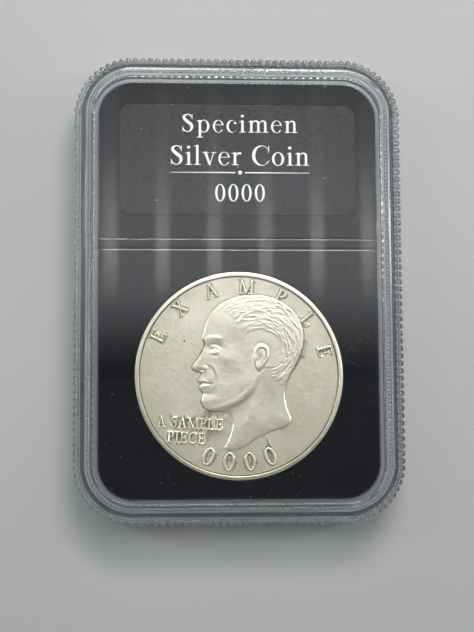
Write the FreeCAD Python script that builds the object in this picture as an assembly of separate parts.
import FreeCAD, Part
import math
import os

# A clear two-shell display slab for one large silver coin and its label card.
# Millimetres. The slab lies on its back: +Z points out of the front window, +Y towards
# the label's end, and the origin is at the middle of the face that it rests on.

Vector = FreeCAD.Vector

# Outline, over the tips of the reeds
SLAB_WIDTH = 60.5
SLAB_LENGTH = 86.0
CORNER_RADIUS = 11.0

# Heights, from the resting face upwards
REAR_RIM_HEIGHT = 0.8
WINDOW_THICKNESS = 1.8
CAVITY_HEIGHT = 3.0
FRONT_RIM_HEIGHT = 0.8
CAVITY_FLOOR = REAR_RIM_HEIGHT + WINDOW_THICKNESS
CAVITY_ROOF = CAVITY_FLOOR + CAVITY_HEIGHT
FRONT_FACE = CAVITY_ROOF + WINDOW_THICKNESS
FRONT_RIM_TOP = FRONT_FACE + FRONT_RIM_HEIGHT
PARTING_HEIGHT = FRONT_RIM_TOP / 2
PARTING_GAP = 0.1

# Reeds, the shallow scallops that run up both skirts
REED_PITCH = 1.36
REED_DEPTH = 0.3
REED_END_HEIGHT = 1.1

# Insets of the walls, measured inwards from the tips of the reeds
PLATE_INSET = 0.35
SKIRT_INNER = 1.7
TONGUE_OUTER = 1.85
TONGUE_INNER = 3.05
LOCATING_WALL_OUTER = 3.2
LOCATING_WALL_INNER = 4.25
FRONT_RIM_OUTER = 2.1
FRONT_RIM_INNER = 3.7
REAR_RIM_OUTER = 0.5
REAR_RIM_INNER = 1.9
INSERT_INSET = 4.4

# Edges and the tongue-and-groove joint
SHOULDER_RADIUS = 0.7
RIM_EDGE_RADIUS = 0.25
TONGUE_TOP_GAP = 0.3
WALL_FOOT_GAP = 0.4
BEAD_RADIUS = 0.5
BEAD_LENGTH = 7.0
BEAD_PROUD = 0.1
BEAD_HEIGHT = 4.7
DETENT_RADIUS = 0.75
SIDE_BEAD_OFFSETS = (-20.0, 20.0)

# Coin and the well it sits in
COIN_RADIUS = 19.05
COIN_THICKNESS = 2.58
COIN_RIM_WIDTH = 0.8
COIN_RIM_SLOPE = 0.35
COIN_FIELD_DEPTH = 0.35
COIN_EDGE_CHAMFER = 0.12
COIN_CENTRE = Vector(0.0, -16.0, 0.0)
WELL_CLEARANCE = 0.1
LEDGE_WIDTH = 0.6
LEDGE_THICKNESS = 0.3
LIE_GAP = 0.03

# Insert, its divider bar and the label's recess
INSERT_BASE = CAVITY_FLOOR + 0.05
INSERT_TOP = 5.3
DIVIDER_CENTRE_Y = 8.2
DIVIDER_WIDTH = 2.15
DIVIDER_TOP = 5.55
LABEL_CENTRE = Vector(0.0, 24.15, 0.0)
LABEL_WIDTH = 43.8
LABEL_HEIGHT = 20.8
LABEL_CORNER_RADIUS = 2.0
LABEL_THICKNESS = 0.25
LABEL_RECESS_DEPTH = 0.3
LABEL_CLEARANCE = 0.12

# How far from a height an edge may lie and still count as lying at it
FLAT_TOLERANCE = 1e-4

# Half of the straight run of the outline's sides and of its ends
SIDE_RUN = SLAB_LENGTH / 2 - CORNER_RADIUS
END_RUN = SLAB_WIDTH / 2 - CORNER_RADIUS


def rounded_rectangle(width, length, radius, height):
    """A closed wire round the origin: four straight runs joined by tangent arcs."""
    across = width / 2 - radius
    along = length / 2 - radius
    edges = []
    for quarter in range(4):
        turn = quarter * math.pi / 2
        half_run = (along, across)[quarter % 2]
        reach = (across, along)[quarter % 2]
        normal = Vector(math.cos(turn), math.sin(turn), 0)
        tangent = Vector(-math.sin(turn), math.cos(turn), 0)
        diagonal = (normal + tangent).normalize()
        centre = normal * reach + tangent * half_run
        run_start = normal * (reach + radius) - tangent * half_run
        arc_start = centre + normal * radius
        arc_end = centre + tangent * radius
        edges.append(Part.LineSegment(run_start, arc_start).toShape())
        edges.append(Part.Arc(arc_start, centre + diagonal * radius, arc_end).toShape())
    wire = Part.Wire(edges)
    wire.translate(Vector(0, 0, height))
    return wire


def prism(wire, low, high):
    """The solid between two heights whose outline is a wire drawn at the origin's height."""
    solid = Part.Face(wire).extrude(Vector(0, 0, high - low))
    solid.translate(Vector(0, 0, low))
    return solid


def plate(inset, low, high):
    """The slab's outline pulled in by an inset, as a plate between two heights."""
    wire = rounded_rectangle(
        SLAB_WIDTH - 2 * inset,
        SLAB_LENGTH - 2 * inset,
        CORNER_RADIUS - inset,
        0,
    )
    return prism(wire, low, high)


def wall(outer_inset, inner_inset, low, high):
    """A wall that runs right round the slab between two insets."""
    return plate(outer_inset, low, high).cut(plate(inner_inset, low, high))


def outline_length(inset):
    """The length of the slab's outline pulled in by an inset."""
    return 4 * (SIDE_RUN + END_RUN) + 2 * math.pi * (CORNER_RADIUS - inset)


def station(distance, inset):
    """The point and the outward normal at a distance round the outline.

    The distance counts anticlockwise from the middle of the +X side.
    """
    radius = CORNER_RADIUS - inset
    corner_length = radius * math.pi / 2
    left = distance + SIDE_RUN
    side = 0
    while True:
        turn = side * math.pi / 2
        half_run = (SIDE_RUN, END_RUN)[side % 2]
        reach = (END_RUN, SIDE_RUN)[side % 2]
        normal = Vector(math.cos(turn), math.sin(turn), 0)
        tangent = Vector(-math.sin(turn), math.cos(turn), 0)
        if left <= 2 * half_run:
            return normal * (reach + radius) + tangent * (left - half_run), normal
        left -= 2 * half_run
        if left <= corner_length:
            turn += left / radius
            corner = normal * reach + tangent * half_run
            normal = Vector(math.cos(turn), math.sin(turn), 0)
            return corner + normal * radius, normal
        left -= corner_length
        side += 1


def reeded_wire():
    """The outline with one shallow arc for each reed, a whole number to each quarter."""
    length = outline_length(REED_DEPTH)
    count = 4 * round(length / REED_PITCH / 4)
    step = length / count
    edges = []
    for reed in range(count):
        valley = station(reed * step, REED_DEPTH)[0]
        next_valley = station((reed + 1) % count * step, REED_DEPTH)[0]
        foot, normal = station((reed + 0.5) * step, REED_DEPTH)
        crest = foot + normal * REED_DEPTH
        edges.append(Part.Arc(valley, crest, next_valley).toShape())
    return Part.Wire(edges)


def reeded_skirt(low, high):
    """A skirt with reeds outside and a plain wall inside."""
    return prism(reeded_wire(), low, high).cut(plate(SKIRT_INNER, low, high))


def edges_at(shape, height):
    """The edges that lie flat at a height."""
    found = []
    for edge in shape.Edges:
        box = edge.BoundBox
        if abs(box.ZMin - height) < FLAT_TOLERANCE and abs(box.ZMax - height) < FLAT_TOLERANCE:
            found.append(edge)
    return found


def snap_bars(radius):
    """Round bars along the tongue, proud of its outer face when their radius is the bead's."""
    depth = TONGUE_OUTER - BEAD_PROUD + BEAD_RADIUS
    across = SLAB_WIDTH / 2 - depth
    along = SLAB_LENGTH / 2 - depth
    bars = []
    for side in (-1, 1):
        for offset in SIDE_BEAD_OFFSETS:
            start = Vector(side * across, offset - BEAD_LENGTH / 2, BEAD_HEIGHT)
            bars.append(Part.makeCylinder(radius, BEAD_LENGTH, start, Vector(0, 1, 0)))
        start = Vector(-BEAD_LENGTH / 2, side * along, BEAD_HEIGHT)
        bars.append(Part.makeCylinder(radius, BEAD_LENGTH, start, Vector(1, 0, 0)))
    return bars


def fused(first, others):
    """One solid from several that touch, with the seams between them removed."""
    return first.multiFuse(others).removeSplitter()


def make_rear_shell():
    """The rear window, its stacking ring, the lower skirt and the tongue with its beads."""
    base = plate(PLATE_INSET, REAR_RIM_HEIGHT, CAVITY_FLOOR)
    rim = wall(REAR_RIM_OUTER, REAR_RIM_INNER, 0, CAVITY_FLOOR)
    rim = rim.makeFillet(RIM_EDGE_RADIUS, edges_at(rim, 0))
    skirt = reeded_skirt(REED_END_HEIGHT, PARTING_HEIGHT - PARTING_GAP / 2)
    tongue = wall(TONGUE_OUTER, TONGUE_INNER, REAR_RIM_HEIGHT, CAVITY_ROOF - TONGUE_TOP_GAP)
    clear_inside = plate(TONGUE_INNER, CAVITY_FLOOR, FRONT_RIM_TOP)
    beads = [bar.cut(clear_inside) for bar in snap_bars(BEAD_RADIUS)]
    return fused(base, [rim, skirt, tongue] + beads)


def make_front_shell():
    """The front window, its raised rim, the upper skirt and the inner locating wall."""
    top = plate(PLATE_INSET, CAVITY_ROOF, FRONT_FACE)
    top = top.makeFillet(SHOULDER_RADIUS, edges_at(top, FRONT_FACE))
    rim = wall(FRONT_RIM_OUTER, FRONT_RIM_INNER, CAVITY_ROOF, FRONT_RIM_TOP)
    rim = rim.makeFillet(RIM_EDGE_RADIUS, edges_at(rim, FRONT_RIM_TOP))
    reed_end = FRONT_FACE - REED_END_HEIGHT
    skirt = reeded_skirt(PARTING_HEIGHT + PARTING_GAP / 2, reed_end)
    for detent in snap_bars(DETENT_RADIUS):
        skirt = skirt.cut(detent)
    locating_wall = wall(
        LOCATING_WALL_OUTER,
        LOCATING_WALL_INNER,
        CAVITY_FLOOR + WALL_FOOT_GAP,
        FRONT_FACE,
    )
    return fused(top, [rim, skirt, locating_wall])


def make_insert_plate():
    """The black plate with the coin's well and ledge, the label's recess and the divider."""
    body = plate(INSERT_INSET, INSERT_BASE, INSERT_TOP)
    bar = Part.makeBox(
        SLAB_WIDTH - 2 * INSERT_INSET,
        DIVIDER_WIDTH,
        DIVIDER_TOP - INSERT_BASE,
        Vector(INSERT_INSET - SLAB_WIDTH / 2, DIVIDER_CENTRE_Y - DIVIDER_WIDTH / 2, INSERT_BASE),
    )
    body = fused(body, [bar])
    ledge_hole = Part.makeCylinder(
        COIN_RADIUS - LEDGE_WIDTH, CAVITY_HEIGHT, COIN_CENTRE + Vector(0, 0, CAVITY_FLOOR)
    )
    well = Part.makeCylinder(
        COIN_RADIUS + WELL_CLEARANCE,
        CAVITY_HEIGHT,
        COIN_CENTRE + Vector(0, 0, INSERT_BASE + LEDGE_THICKNESS),
    )
    recess_wire = rounded_rectangle(
        LABEL_WIDTH + 2 * LABEL_CLEARANCE,
        LABEL_HEIGHT + 2 * LABEL_CLEARANCE,
        LABEL_CORNER_RADIUS + LABEL_CLEARANCE,
        0,
    )
    recess = prism(recess_wire, INSERT_TOP - LABEL_RECESS_DEPTH, INSERT_TOP + 1)
    recess.translate(LABEL_CENTRE)
    return body.cut(ledge_hole).cut(well).cut(recess)


def make_label_card():
    """The thin card that lies in the insert's recess."""
    base = INSERT_TOP - LABEL_RECESS_DEPTH + LIE_GAP
    wire = rounded_rectangle(LABEL_WIDTH, LABEL_HEIGHT, LABEL_CORNER_RADIUS, 0)
    card = prism(wire, base, base + LABEL_THICKNESS)
    card.translate(LABEL_CENTRE)
    return card


def coin_profile(base):
    """Half of the coin's section: a raised rim and a lower field on each side."""
    top = base + COIN_THICKNESS
    rim_inner = COIN_RADIUS - COIN_RIM_WIDTH
    field_radius = rim_inner - COIN_RIM_SLOPE
    outer = COIN_RADIUS - COIN_EDGE_CHAMFER
    corners = [
        (0, base + COIN_FIELD_DEPTH),
        (field_radius, base + COIN_FIELD_DEPTH),
        (rim_inner, base),
        (outer, base),
        (COIN_RADIUS, base + COIN_EDGE_CHAMFER),
        (COIN_RADIUS, top - COIN_EDGE_CHAMFER),
        (outer, top),
        (rim_inner, top),
        (field_radius, top - COIN_FIELD_DEPTH),
        (0, top - COIN_FIELD_DEPTH),
    ]
    points = [Vector(radius, 0, height) for radius, height in corners]
    return Part.Face(Part.makePolygon(points + points[:1]))


def make_coin():
    """The coin, lying on the ledge of the insert's well."""
    base = INSERT_BASE + LEDGE_THICKNESS + LIE_GAP
    coin = coin_profile(base).revolve(Vector(0, 0, 0), Vector(0, 0, 1), 360)
    coin.translate(COIN_CENTRE)
    return coin


PIECES = {
    "rear_shell": make_rear_shell,
    "front_shell": make_front_shell,
    "insert_plate": make_insert_plate,
    "label_card": make_label_card,
    "coin": make_coin,
}

os.makedirs("parts", exist_ok=True)
for name, make in PIECES.items():
    shape = make()
    solids = shape.Solids
    if len(solids) != 1 or not shape.isValid():
        raise ValueError(f"{name} has {len(solids)} solids, valid: {shape.isValid()}")
    solids[0].exportStep(f"parts/{name}.step")
    print(f"{name}: {shape.Volume:.1f} mm3")
